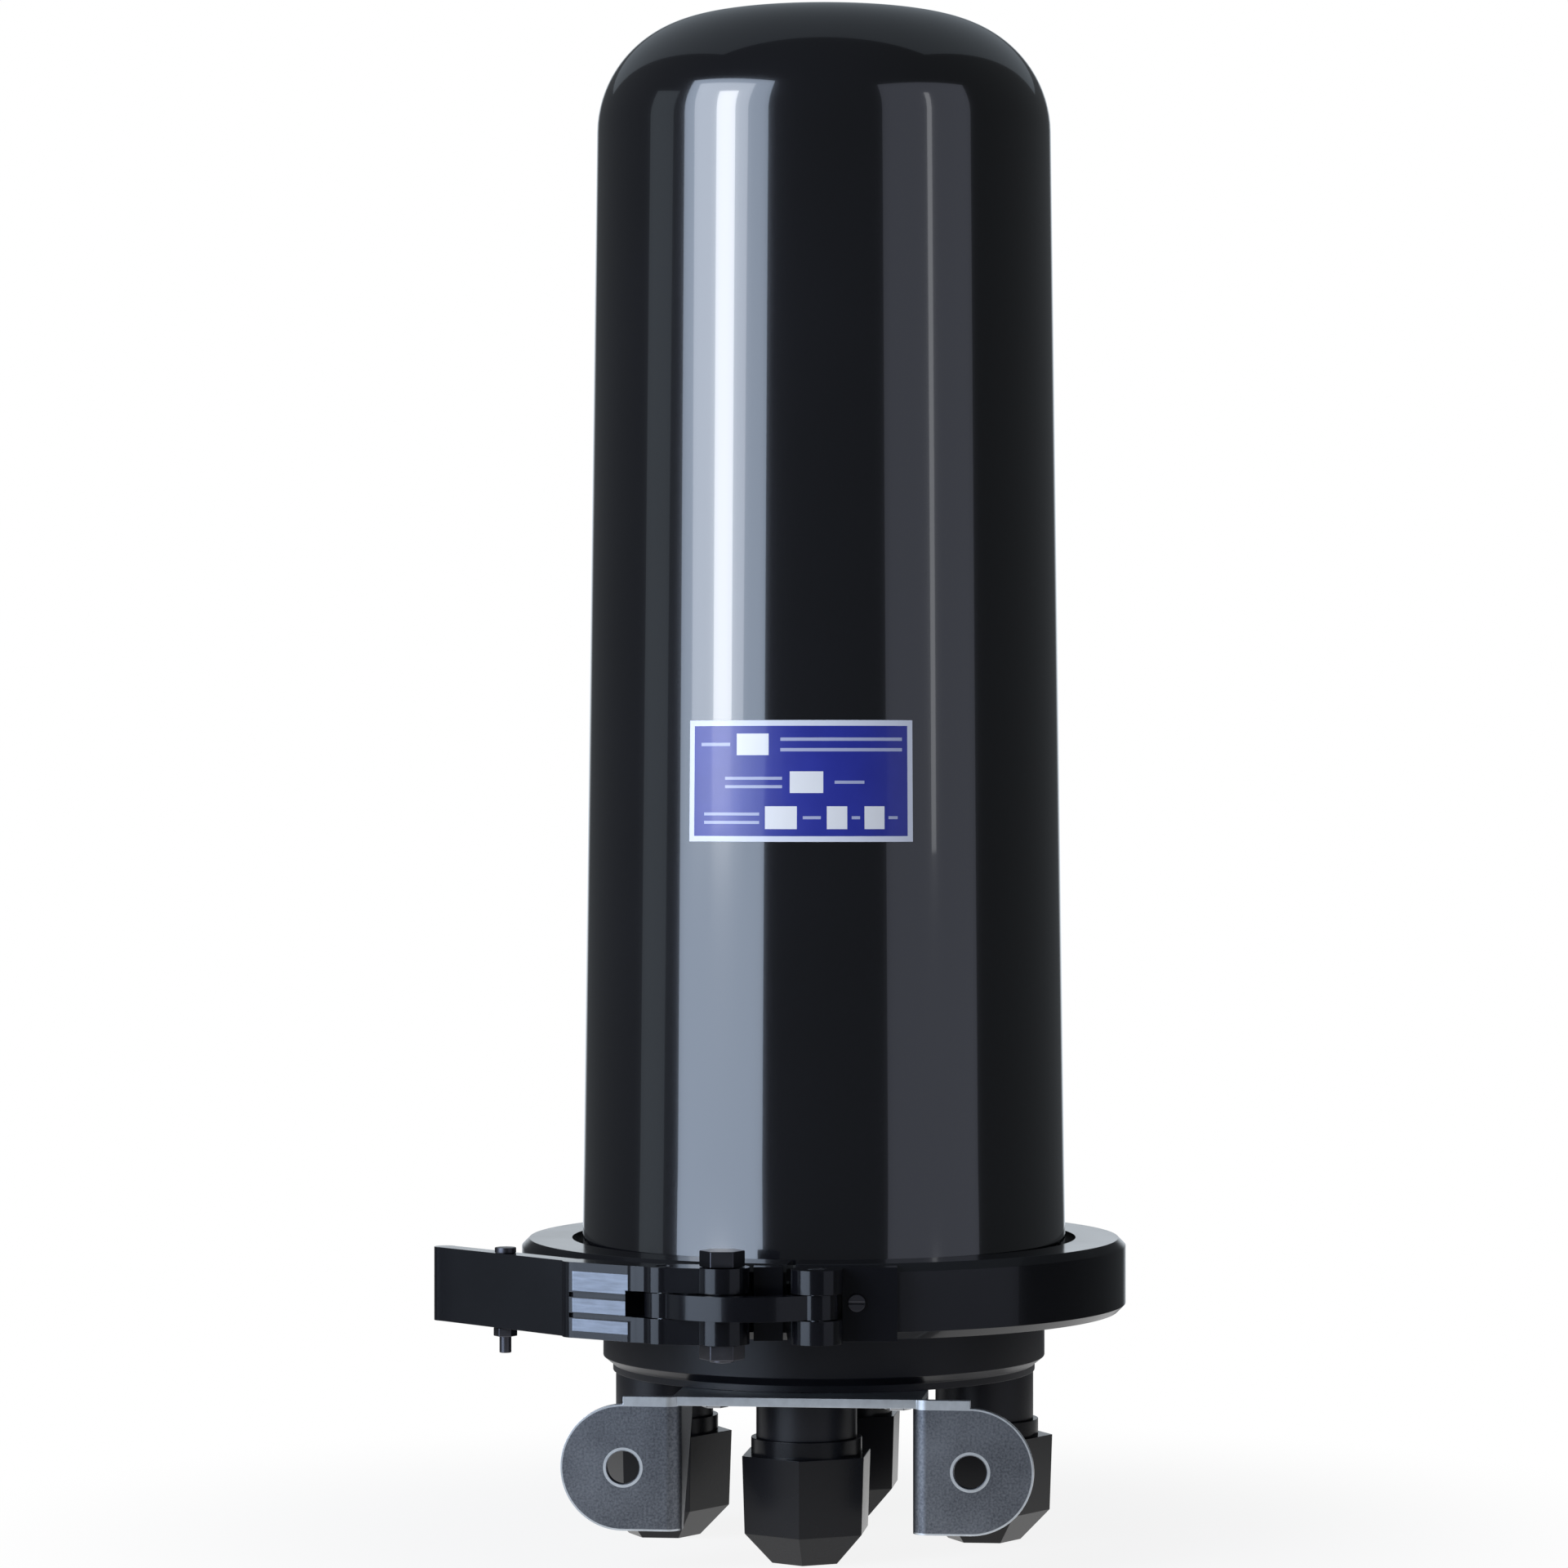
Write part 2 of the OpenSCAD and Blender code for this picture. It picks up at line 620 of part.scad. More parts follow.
module port_seal(i) {
    color([0.15, 0.15, 0.15]) at_port(i) translate([0, 0, ring_top_z + 0.1]) difference() {
        cylinder(r = tube_bore_r - 0.1, h = seal_seat_z - ring_top_z - 0.2);
        translate([0, 0, -1]) cylinder(r = plug_r + 0.05, h = 50);
    }
}

module blanking_plug(i) {
    color([0.2, 0.2, 0.21]) at_port(i) {
        translate([0, 0, nut_end_z + 1.4]) cylinder(r = plug_r, h = seal_seat_z - nut_end_z);
        translate([0, 0, seal_seat_z]) cylinder(r = plug_r + 2, h = 3);
    }
}

module carrier() {
    foot_w = 56;
    foot_z = floor_top_z + 5;
    color([0.72, 0.73, 0.75]) place() difference() {
        union() {
            translate([-foot_w / 2, -24, foot_z]) cube([foot_w, carrier_y + carrier_t + 24, carrier_t]);
            translate([-foot_w / 2, carrier_y, foot_z]) cube([foot_w, carrier_t, 40]);
            translate([-carrier_w / 2, carrier_y, foot_z + 30]) cube([carrier_w, carrier_t, carrier_top_z - foot_z - 30]);
            for (s = [0, 1]) mirror([s, 0, 0]) translate([carrier_w / 2 - carrier_t, carrier_y, foot_z + 30])
                cube([carrier_t, 10, carrier_top_z - foot_z - 30]);
        }
        foot_screw_places() translate([0, 0, foot_z - 1]) cylinder(r = 2.2, h = 10);
        for (k = [0 : 3]) translate([0, carrier_y - 1, 90 + window_pitch * k]) rotate([-90, 0, 0]) cylinder(r = window_r, h = 10);
    }
}

module carrier_screws() {
    color([0.7, 0.7, 0.72]) place() foot_screw_places() {
        translate([0, 0, floor_top_z - 2]) cylinder(r = 1.95, h = 9.1);
        translate([0, 0, floor_top_z + 5 + carrier_t + 0.05]) cylinder(r = 3.6, h = 2.2);
    }
}

// Middle of tray k's thickness, with tray 1 next to the carrier
function tray_y(k) = carrier_y - 2.5 - (k - 1) * tray_pitch - tray_t / 2;

module tray_hinge_block() {
    color([0.85, 0.85, 0.82]) place() difference() {
        union() {
            for (s = [0, 1]) mirror([s, 0, 0]) translate([cheek_x, tray_front_y - 1, 18])
                cube([cheek_t, carrier_y - tray_front_y + 0.95, pin_z - 12]);
            translate([-cheek_x - cheek_t, tray_front_y - 1, 14])
                cube([2 * (cheek_x + cheek_t), carrier_y - tray_front_y + 0.95, 5]);
        }
        for (k = [1 : tray_count]) translate([-60, tray_y(k), pin_z]) rotate([0, 90, 0])
            cylinder(r = tray_pin_r + pin_play, h = 120);
    }
}

// One tray: a shallow pan with a round-cornered rim, two bend rings and a pair of hinge lugs
module splice_tray(k) {
    inner_t = tray_t - tray_wall;
    color([0.9, 0.9, 0.88]) place() translate([0, tray_y(k) + tray_t / 2, tray_foot_z]) rotate([90, 0, 0]) difference() {
        union() {
            linear_extrude(tray_wall) tray_outline(0);
            linear_extrude(tray_t) difference() {
                tray_outline(0);
                tray_outline(tray_wall);
            }
            for (z = [62, tray_h - 62]) translate([0, z, 0]) difference() {
                cylinder(r = 28, h = inner_t);
                translate([0, 0, tray_wall]) cylinder(r = 26.6, h = tray_t);
            }
            for (s = [0, 1]) mirror([s, 0, 0]) translate([cheek_x - 9, pin_z - tray_foot_z - 3.6, 0])
                cube([8.6, tray_foot_z - pin_z + 4, tray_t - 1]);
        }
        translate([-60, pin_z - tray_foot_z, tray_t / 2]) rotate([0, 90, 0]) cylinder(r = tray_pin_r + pin_play, h = 120);
    }
}

module tray_outline(t) {
    corner = 16;
    w = tray_w / 2 - t;
    translate([-w, t]) square([2 * w, tray_h - corner - t]);
    translate([-w + corner - t, t]) square([2 * (w - corner + t), tray_h - 2 * t]);
    for (s = [-1, 1]) translate([s * (tray_w / 2 - corner), tray_h - corner]) circle(r = corner - t);
}

// Splice combs: one block of grooves in the middle of each tray
module splice_holders() {
    comb_w = 44;
    comb_h = 60;
    grooves = 8;
    step = comb_w / grooves;
    color([0.75, 0.76, 0.8]) place() for (k = [1 : tray_count])
        translate([0, tray_y(k) + tray_t / 2 - tray_wall - 0.05, tray_foot_z + tray_h / 2]) rotate([90, 0, 0]) difference() {
            translate([-comb_w / 2, -comb_h / 2, 0]) cube([comb_w, comb_h, 4.6]);
            for (g = [0 : grooves - 1]) translate([-comb_w / 2 + step * (g + 0.5), -comb_h / 2 - 1, 4.6])
                rotate([-90, 0, 0]) cylinder(r = 1.6, h = comb_h + 2, $fn = 24);
        }
}

module tray_pins() {
    reach = cheek_x + cheek_t + 0.8;
    color([0.65, 0.65, 0.68]) place() for (k = [1 : tray_count])
        translate([-reach, tray_y(k), pin_z]) rotate([0, 90, 0]) cylinder(r = tray_pin_r, h = 2 * reach);
}

module tray_cover() {
    color([0.8, 0.85, 0.9, 0.5]) place() translate([0, tray_front_y - 0.05, tray_foot_z]) rotate([90, 0, 0]) {
        linear_extrude(1.2) tray_outline(0.3);
        for (z = [40, 220]) translate([-6, z, 0]) cube([12, 8, 2.4]);
    }
}

module tray_strap() {
    wide = max(carrier_w / 2 + 1.2, tray_w / 2 + 0.4);
    y_front = tray_front_y - 1.6;
    y_back = carrier_y + 10.4;
    color([0.1, 0.1, 0.1]) place() translate([0, 0, strap_z]) difference() {
        translate([-wide - strap_t, y_front - strap_t, 0])
            cube([2 * (wide + strap_t), y_back - y_front + 2 * strap_t, strap_h]);
        translate([-wide, y_front, -1]) cube([2 * wide, y_back - y_front, strap_h + 2]);
    }
}

module fibre_basket() {
    back_y = carrier_y + carrier_t + 0.05;
    half_w = carrier_w / 2 - carrier_t - 0.4;
    tab_w = 14;
    tab_h = 10;
    color([0.88, 0.88, 0.86]) place() difference() {
        union() {
            translate([-half_w, back_y, basket_z]) cube([2 * half_w, basket_wall, basket_h]);
            for (s = [0, 1]) mirror([s, 0, 0]) translate([half_w - basket_wall, back_y, basket_z])
                cube([basket_wall, basket_deep, basket_h]);
            translate([-half_w, back_y, basket_z]) cube([2 * half_w, basket_deep, basket_wall]);
            for (z = [0.17, 0.56, 0.95]) for (s = [0, 1]) mirror([s, 0, 0])
                translate([half_w - tab_w, back_y + basket_deep - basket_wall, basket_z + z * basket_h - tab_h / 2])
                    cube([tab_w, basket_wall, tab_h]);
        }
        for (k = [0 : 2]) translate([0, back_y - 1, 90 + window_pitch * k]) rotate([-90, 0, 0])
            cylinder(r = window_r - 4, h = basket_wall + 2);
    }
}

// A saddle beside each port that grips the cable's strength member
module cable_clamps() {
    color([0.7, 0.71, 0.73]) place() for (a = port_turns) rotate([0, 0, a]) difference() {
        union() {
            translate([saddle_r, -6, floor_top_z + 0.05]) cube([9, 12, 4]);
            translate([saddle_r + 7, -6, floor_top_z + 0.05]) cube([2, 12, 26]);
        }
        translate([saddle_r + 4, 0, floor_top_z - 1]) cylinder(r = 1.75, h = 10);
        translate([saddle_r - 1, 0, floor_top_z + 20]) rotate([0, 90, 0]) cylinder(r = 2.1, h = 20);
    }
}

module cable_clamp_screws() {
    color([0.65, 0.65, 0.68]) place() for (a = port_turns) rotate([0, 0, a]) {
        translate([saddle_r + 4, 0, floor_top_z - 3.5]) cylinder(r = 1.5, h = 8);
        translate([saddle_r + 4, 0, floor_top_z + 4.1]) cylinder(r = 2.6, h = 1.8);
    }
}

dome();
label();
base();
seal_ring();
clamp_half_fixed();
clamp_half_hinged();
clamp_hinge_pin();
fulcrum_bolt();
fulcrum_nut();
lever();
lever_pin();
link();
catch_pin();
lock_screw();
lug_screw();
bracket();
bracket_bolts();
gland_nut(0);  // gland_nut_front
gland_nut(1);  // gland_nut_right
gland_nut(2);  // gland_nut_rear
gland_nut(3);  // gland_nut_left
thrust_ring(0);  // thrust_ring_front
thrust_ring(1);  // thrust_ring_right
thrust_ring(2);  // thrust_ring_rear
thrust_ring(3);  // thrust_ring_left
port_seal(0);  // port_seal_front
port_seal(1);  // port_seal_right
port_seal(2);  // port_seal_rear
port_seal(3);  // port_seal_left
blanking_plug(0);  // blanking_plug_front
blanking_plug(1);  // blanking_plug_right
blanking_plug(2);  // blanking_plug_rear
blanking_plug(3);  // blanking_plug_left
carrier();
carrier_screws();
tray_hinge_block();
splice_tray(1);  // splice_tray_1
splice_tray(2);  // splice_tray_2
splice_tray(3);  // splice_tray_3
splice_tray(4);  // splice_tray_4
splice_holders();
tray_pins();
tray_cover();
tray_strap();
fibre_basket();
cable_clamps();
cable_clamp_screws();
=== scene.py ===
# %% [markdown]
# # Dome splice closure
# A tall black dome stands over a four-port base. A hinged V-clamp with an over-centre lever holds the two
# together, and a folded steel bracket under the base carries the closure on a wall or a pole.
#
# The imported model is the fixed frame: its sizes and places come first, and this script gives it edges,
# finishes and light.

# %% Load the frame
import json
import math

import bpy
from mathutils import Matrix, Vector

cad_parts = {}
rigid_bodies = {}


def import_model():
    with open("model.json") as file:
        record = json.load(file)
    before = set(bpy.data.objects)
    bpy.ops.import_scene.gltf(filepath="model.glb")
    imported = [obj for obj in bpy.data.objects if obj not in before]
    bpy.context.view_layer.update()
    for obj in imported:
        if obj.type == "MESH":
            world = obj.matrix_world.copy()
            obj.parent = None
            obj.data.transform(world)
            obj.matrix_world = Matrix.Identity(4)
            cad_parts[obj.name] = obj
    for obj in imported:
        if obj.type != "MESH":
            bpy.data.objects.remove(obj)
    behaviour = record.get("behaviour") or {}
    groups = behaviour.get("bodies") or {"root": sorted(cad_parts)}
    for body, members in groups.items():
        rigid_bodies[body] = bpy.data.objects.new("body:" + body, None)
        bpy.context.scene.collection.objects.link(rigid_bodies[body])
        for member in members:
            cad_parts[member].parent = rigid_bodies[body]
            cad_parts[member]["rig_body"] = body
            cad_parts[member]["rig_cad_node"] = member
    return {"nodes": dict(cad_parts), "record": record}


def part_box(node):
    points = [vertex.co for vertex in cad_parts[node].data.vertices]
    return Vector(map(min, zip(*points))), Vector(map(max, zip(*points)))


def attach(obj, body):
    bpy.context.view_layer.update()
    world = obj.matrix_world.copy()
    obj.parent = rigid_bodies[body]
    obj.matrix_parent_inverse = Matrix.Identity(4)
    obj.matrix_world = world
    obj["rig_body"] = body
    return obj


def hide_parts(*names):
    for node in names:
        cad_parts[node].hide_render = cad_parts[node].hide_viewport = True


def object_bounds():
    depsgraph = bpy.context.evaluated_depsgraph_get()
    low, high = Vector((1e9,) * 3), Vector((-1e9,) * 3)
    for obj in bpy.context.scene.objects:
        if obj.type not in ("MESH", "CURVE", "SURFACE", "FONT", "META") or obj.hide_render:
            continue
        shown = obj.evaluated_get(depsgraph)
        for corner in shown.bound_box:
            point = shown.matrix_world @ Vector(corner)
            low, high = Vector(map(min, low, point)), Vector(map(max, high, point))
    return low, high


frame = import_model()
frame_low, frame_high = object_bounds()
slot_of = {part["node"]: part["material_slot"] for part in frame["record"]["subparts"]}
body_of = {node: body for body, members in frame["record"]["behaviour"]["bodies"].items() for node in members}
print("frame box", [round(v, 4) for v in (*frame_low, *frame_high)])

# %% [markdown]
# Most sizes are read from the nodes themselves. The dome gives the axis that every round piece shares, the
# height where the dome meets the base, and the radius of the flange.

# %% Where the main things are
dome_low, dome_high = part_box("dome")
axis_x = (dome_low.x + dome_high.x) / 2
axis_y = (dome_low.y + dome_high.y) / 2
face_z = dome_low.z
crown_z = dome_high.z
flange_r = (dome_high.x - dome_low.x) / 2
floor_z = frame_low.z
mm = 0.001
print("axis", round(axis_x, 4), round(axis_y, 4), "face", round(face_z, 4), "crown", round(crown_z, 4))

# %% [markdown]
# ## Shader maths as Python
# A material is a graph of nodes. Writing `1 - mask * 2` is easier to read than a chain of boxes, so one
# small class wraps a socket, and each operator adds the Math node that it stands for.

# %% The Wire class
class Wire:
    """A socket of a material's node tree that Python's operators can be used on."""

    def __init__(self, tree, socket):
        self.tree = tree
        self.socket = socket

    def math(self, operation, *values):
        node = self.tree.nodes.new("ShaderNodeMath")
        node.operation = operation
        for place, value in enumerate(values):
            plug(self.tree, value, node.inputs[place])
        return Wire(self.tree, node.outputs[0])

    def __add__(self, other):
        return self.math("ADD", self, other)

    __radd__ = __add__

    def __sub__(self, other):
        return self.math("SUBTRACT", self, other)

    def __rsub__(self, other):
        return self.math("SUBTRACT", other, self)

    def __mul__(self, other):
        return self.math("MULTIPLY", self, other)

    __rmul__ = __mul__

    def __truediv__(self, other):
        return self.math("DIVIDE", self, other)

    def __gt__(self, other):
        return self.math("GREATER_THAN", self, other)

    def __lt__(self, other):
        return self.math("LESS_THAN", self, other)

    def __abs__(self):
        return self.math("ABSOLUTE", self)


def plug(tree, value, socket):
    """Links a Wire to a socket, or sets the socket to a plain value."""
    if isinstance(value, Wire):
        tree.links.new(value.socket, socket)
    else:
        socket.default_value = value


# %% [markdown]
# The Graph class holds a node tree, and one method, `add`, makes any node from its type, its settings and
# its inputs. The studio's world uses it as it is, and Finish, below it, is the same thing for a material
# with its Principled shader.

# %% The Graph class
class Graph:
    """A tree of shader nodes."""

    def __init__(self, tree):
        self.tree = tree

    def add(self, kind, settings=None, out=0, **values):
        node = self.tree.nodes.new(kind)
        for name, value in (settings or {}).items():
            setattr(node, name, value)
        for name, value in values.items():
            plug(self.tree, value, node.inputs[name.replace("_", " ")])
        return Wire(self.tree, node.outputs[out])

    def place(self, scale=(1, 1, 1)):
        """Object coordinates in metres, stretched by scale."""
        seat = self.add("ShaderNodeTexCoord", out="Object")
        return self.add("ShaderNodeMapping", Vector=seat, Scale=scale)

    def noise(self, scale, stretch=(1, 1, 1), detail=3.0):
        """Noise from 0 to 1, scale being its cells in a metre."""
        seat = self.place(stretch)
        return self.add("ShaderNodeTexNoise", Vector=seat, Scale=scale, Detail=detail, Roughness=0.55)

    def ramp(self, fac, stops):
        """A colour that changes with fac, through (place, colour) stops."""
        node = self.tree.nodes.new("ShaderNodeValToRGB")
        while len(node.color_ramp.elements) < len(stops):
            node.color_ramp.elements.new(0.5)
        for element, (where, colour) in zip(node.color_ramp.elements, stops):
            element.position = where
            element.color = (*colour, 1)
        plug(self.tree, fac, node.inputs["Fac"])
        return Wire(self.tree, node.outputs["Color"])

    def blend(self, fac, first, second):
        """A colour between first and second."""
        node = self.tree.nodes.new("ShaderNodeMix")
        node.data_type = "RGBA"
        for socket, value in ((0, fac), (6, first), (7, second)):
            plug(self.tree, value if isinstance(value, (Wire, float)) else (*value, 1), node.inputs[socket])
        return Wire(self.tree, node.outputs[2])

    def bump(self, height, strength, distance):
        return self.add("ShaderNodeBump", Height=height, Strength=strength, Distance=distance)

    def rays(self):
        """Which kind of ray asks: seen by the camera, and seen in a gloss or through glass."""
        camera = self.add("ShaderNodeLightPath", out="Is Camera Ray")
        outputs = camera.socket.node.outputs
        glossy = Wire(self.tree, outputs["Is Glossy Ray"])
        return camera, glossy + Wire(self.tree, outputs["Is Transmission Ray"])

    def parts_of(self, vector):
        """The x, y and z of a vector, as three wires."""
        split = self.add("ShaderNodeSeparateXYZ", Vector=vector)
        return [Wire(self.tree, output) for output in split.socket.node.outputs]

    def fade(self, value, start, end):
        """0 before start, 1 past end, and smooth between them."""
        smooth = {"interpolation_type": "SMOOTHSTEP"}
        return self.add("ShaderNodeMapRange", smooth, Value=value, From_Min=start, From_Max=end)


# %% The Finish class
class Finish(Graph):
    """A material with one Principled shader."""

    def __init__(self, name, **constants):
        self.material = bpy.data.materials.new(name)
        self.material.use_nodes = True
        super().__init__(self.material.node_tree)
        self.shader = self.tree.nodes["Principled BSDF"]
        self.output = self.tree.nodes["Material Output"]
        for socket, value in constants.items():
            self.shader.inputs[socket.replace("_", " ")].default_value = value

    def feed(self, **wires):
        for name, wire in wires.items():
            plug(self.tree, wire, self.shader.inputs[name.replace("_", " ")])
        return self


# %% [markdown]
# ## Black mouldings
# Everything outside is black, so what tells the pieces apart is how each one shines. The dome comes from a
# polished mould: its reflections are sharp, with a faint waviness and the odd rubbed streak. The clamp and
# the nuts are glass-filled and a little duller, and the base is satin with a fine grain. One function makes
# all the duller ones: a large noise changes the gloss in soft patches, and a fine one is the grain.

# %% A moulded plastic
def moulded(name, colour, rough, spread, grain, grain_mm, coat=0.0, shine=0.3, sheen_mask=None):
    """A moulded black plastic: soft changes of gloss, a fine grain, and a painted sheen, bright metal where
    the mask says so.
    """
    finish = Finish(name, Coat_Weight=coat, Coat_Roughness=0.03, Specular_IOR_Level=shine)
    patches = finish.noise(14, detail=4.0)
    specks = finish.noise(1000 / grain_mm, detail=2.0)
    paler = tuple(c * 1.5 + 0.002 for c in colour)
    black = finish.ramp(patches, [(0.35, colour), (0.75, paler)])
    gloss = (patches - 0.5) * spread + rough
    # Painted sheen: bright metal stands in for the lamps' reflection on the masked faces.
    if sheen_mask:
        bright = sheen_mask(finish) * (finish.noise(420, stretch=(0.3, 0.3, 2.5), detail=3.0) * 0.7 + 0.5)
        black = finish.blend(bright, black, (0.23, 0.25, 0.29))
        gloss = gloss + bright * 0.12
        finish.feed(Metallic=bright.math("MINIMUM", bright, 1.0))
    finish.feed(Base_Color=black, Roughness=gloss, Normal=finish.bump(specks, grain, 0.00006))
    return finish.material


# %% [markdown]
# The lever's outer face has three bright strips beside the handle, between the grooves that are cut
# there. They could be separate plates, but they are a painted sheen: bright metal that stands in for the
# lamps' reflection. So they are found by their place: how far out they lie along the face's own direction,
# and how high.

# %% The lever's painted sheen strips
lever_low, lever_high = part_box("lever")
lever_middle_z = (lever_low.z + lever_high.z) / 2
strip_face_x, strip_face_y = -0.4706, -0.882
strip_face_out = 46.4 * mm
strip_from_x, strip_to_x = -72.5 * mm, -52.5 * mm
strip_levels = [(6.3 * mm, 3.2 * mm), (-1.6 * mm, 2.3 * mm), (-8.1 * mm, 2.0 * mm)]  # middle and half height


def lever_sheen_strips(finish):
    """1 on the three strips of painted sheen on the lever's outer face, beside the handle."""
    x, y, z = finish.parts_of(finish.add("ShaderNodeTexCoord", out="Object"))
    outward = (x * strip_face_x + y * strip_face_y) > strip_face_out
    beside = (x > strip_from_x) * (x < strip_to_x)
    up = z - lever_middle_z
    strips = sum((abs(up - middle) < half for middle, half in strip_levels), 0.0)
    return outward * beside * strips


# %% [markdown]
# The dome has a clear coat over the black, which gives two reflections: a sharp one, and under it one that
# the streaks blur. The streaks are noise drawn out along the axis, as a cloth leaves them.

# %% The dome's polish
def polished_dome():
    finish = Finish("dome_black", Coat_Weight=1.0, Coat_Roughness=0.02, Coat_IOR=1.6, IOR=1.6)
    streaks = finish.noise(30, stretch=(1, 1, 0.06), detail=5.0)
    patches = finish.noise(9, detail=3.0)
    waves = finish.noise(16, stretch=(1, 1, 0.35), detail=1.0)
    finish.feed(
        Base_Color=finish.ramp(patches, [(0.3, (0.0045, 0.0045, 0.006)), (0.8, (0.007, 0.007, 0.0095))]),
        Roughness=streaks * 0.16 + 0.06,
        Normal=finish.bump(waves, 0.12, 0.0006),
    )
    return finish.material


# %% [markdown]
# The finishes are kept by the name of their slot, so that each node finds its own.

# %% The black finishes
finishes = {
    "dome_black": polished_dome(),
    "base_black": moulded("base_black", (0.0085, 0.0085, 0.0112), 0.36, 0.2, 0.3, 0.9, shine=0.28),
    # The clamp's finish carries the painted sheen on the lever's strips.
    "clamp_black": moulded(
        "clamp_black", (0.005, 0.005, 0.0068), 0.2, 0.14, 0.18, 0.8, coat=0.22, sheen_mask=lever_sheen_strips
    ),
    "nut_black": moulded("nut_black", (0.005, 0.005, 0.0065), 0.26, 0.16, 0.2, 0.8, shine=0.22),
    "rubber_black": moulded("rubber_black", (0.015, 0.015, 0.015), 0.7, 0.2, 0.5, 0.5),
}
print("black finishes", sorted(finishes))

# %% [markdown]
# ## Metals
# The bracket is zinc-plated sheet with a fine mottled grain, and its cut edges and the rims of its holes
# carry painted highlights of pale metal. The pins and screws are turned steel, so their grain runs round
# them, and the fulcrum bolt is blackened.

# %% Turned steel
def worked_steel(name, colour, rough, stretch, grain):
    """Steel with a grain: the noise is drawn out along one direction."""
    finish = Finish(name, Metallic=1.0)
    lines = finish.noise(900, stretch=stretch, detail=3.0)
    clouds = finish.noise(35, detail=4.0)
    darker = tuple(c * 0.78 for c in colour)
    finish.feed(
        Base_Color=finish.ramp(clouds, [(0.3, darker), (0.7, colour)]),
        Roughness=(clouds - 0.5) * 0.25 + rough + (lines - 0.5) * 0.12,
        Normal=finish.bump(lines, grain, 0.00003),
    )
    return finish.material


# %% [markdown]
# The painted highlights on the bracket are bright lines drawn by distance. A rim is where the distance from a
# hole's middle is about the hole's radius, and the ears' outline is where the distance from the row of holes
# is near its end.

# %% The bracket's zinc
sheet_low, sheet_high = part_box("bracket")
hole_x = 57.8 * mm
hole_rim_r, hole_rim_half = 6.2 * mm, 0.45 * mm
ear_rim_r = 20.35 * mm
ear_depth = 3 * mm
plate_edge_h, plate_edge_depth, plate_edge_half_w = 1.9 * mm, 30 * mm, 45 * mm


def zinc_sheet():
    """The bracket: grey zinc with a fine grain, and painted highlights of bright metal on its cut edges and
    hole rims.
    """
    finish = Finish("bracket_steel", Metallic=1.0)
    x, y, z = finish.parts_of(finish.add("ShaderNodeTexCoord", out="Object"))
    side = abs(x) - hole_x
    from_hole = x.math("SQRT", side * side + z * z)
    beyond = side.math("MAXIMUM", side, 0.0)
    from_row = x.math("SQRT", beyond * beyond + z * z)
    on_ear = y < sheet_low.y + ear_depth
    rims = (abs(from_hole - hole_rim_r) < hole_rim_half) * on_ear + (from_row > ear_rim_r) * on_ear
    near_front = (y < sheet_low.y + plate_edge_depth) * (abs(x) < plate_edge_half_w)
    edge = (z > sheet_high.z - plate_edge_h) * near_front
    # Painted highlights: pale metal on the hole rims, the ears' outline and the top edge stands in for the
    # lamps' glint.
    painted_glint = x.math("MINIMUM", rims + edge, 1.0) * (finish.noise(260, detail=2.0) * 0.5 + 0.6)
    clouds = finish.noise(35, detail=4.0)
    specks = finish.noise(1300, detail=1.0)
    mottle = clouds * 0.45 + specks * 0.55
    zinc = finish.ramp(mottle, [(0.36, (0.085, 0.093, 0.110)), (0.64, (0.172, 0.184, 0.206))])
    finish.feed(
        Base_Color=finish.blend(painted_glint, zinc, (0.62, 0.66, 0.70)),
        Roughness=(clouds - 0.5) * 0.25 + 0.42 - painted_glint * 0.06,
        Normal=finish.bump(specks, 0.3, 0.00003),
    )
    return finish.material


finishes["bracket_steel"] = zinc_sheet()
finishes["stainless"] = worked_steel("stainless", (0.60, 0.61, 0.63), 0.28, (0.15, 0.15, 1), 0.2)
finishes["dark_steel"] = worked_steel("dark_steel", (0.10, 0.10, 0.115), 0.33, (0.15, 0.15, 1), 0.2)
print("metals", "bracket_steel", "stainless", "dark_steel")

# %% [markdown]
# ## Plastics inside the closed dome
# The trays are off-white, their cover is clear, and the strap is woven. None of it shows while the dome is
# on, but the model can be opened up, so each has its own finish.

# %% Pale, clear and woven
def pale_moulding():
    finish = Finish("pale_plastic")
    patches = finish.noise(22, detail=3.0)
    finish.feed(
        Base_Color=finish.ramp(patches, [(0.3, (0.70, 0.70, 0.66)), (0.7, (0.78, 0.78, 0.75))]),
        Roughness=patches * 0.2 + 0.35,
        Normal=finish.bump(finish.noise(1100), 0.15, 0.00005),
    )
    return finish.material


def clear_cover():
    finish = Finish("clear_plastic", IOR=1.49)
    patches = finish.noise(18, detail=2.0)
    finish.feed(
        Base_Color=finish.ramp(patches, [(0.3, (0.74, 0.80, 0.86)), (0.7, (0.80, 0.85, 0.90))]),
        Roughness=patches * 0.1 + 0.05,
        Alpha=patches * 0.1 + 0.32,
    )
    return finish.material


def woven_strap():
    finish = Finish("strap_black")
    seat = finish.place()
    across = finish.add("ShaderNodeTexWave", {"bands_direction": "X"}, out="Fac", Vector=seat, Scale=320.0)
    along = finish.add("ShaderNodeTexWave", {"bands_direction": "Z"}, out="Fac", Vector=seat, Scale=320.0)
    weave = across * along
    finish.feed(
        Base_Color=finish.ramp(weave, [(0.1, (0.012, 0.012, 0.013)), (0.9, (0.035, 0.035, 0.038))]),
        Roughness=weave * 0.2 + 0.7,
        Normal=finish.bump(weave, 0.6, 0.0003),
    )
    return finish.material


finishes["pale_plastic"] = pale_moulding()
finishes["clear_plastic"] = clear_cover()
finishes["strap_black"] = woven_strap()
print("inner finishes", "pale_plastic", "clear_plastic", "strap_black")

# %% [markdown]
# ## The label
# A blue printed film with a pale border and blank white fields for the installer to fill in. The print
# follows the dome, so the pattern is measured along the arc, angle times radius, and by height. Each field
# is a box test, and the sum of the boxes is the white of the print. Thin pale rules stand where a caption
# would go.

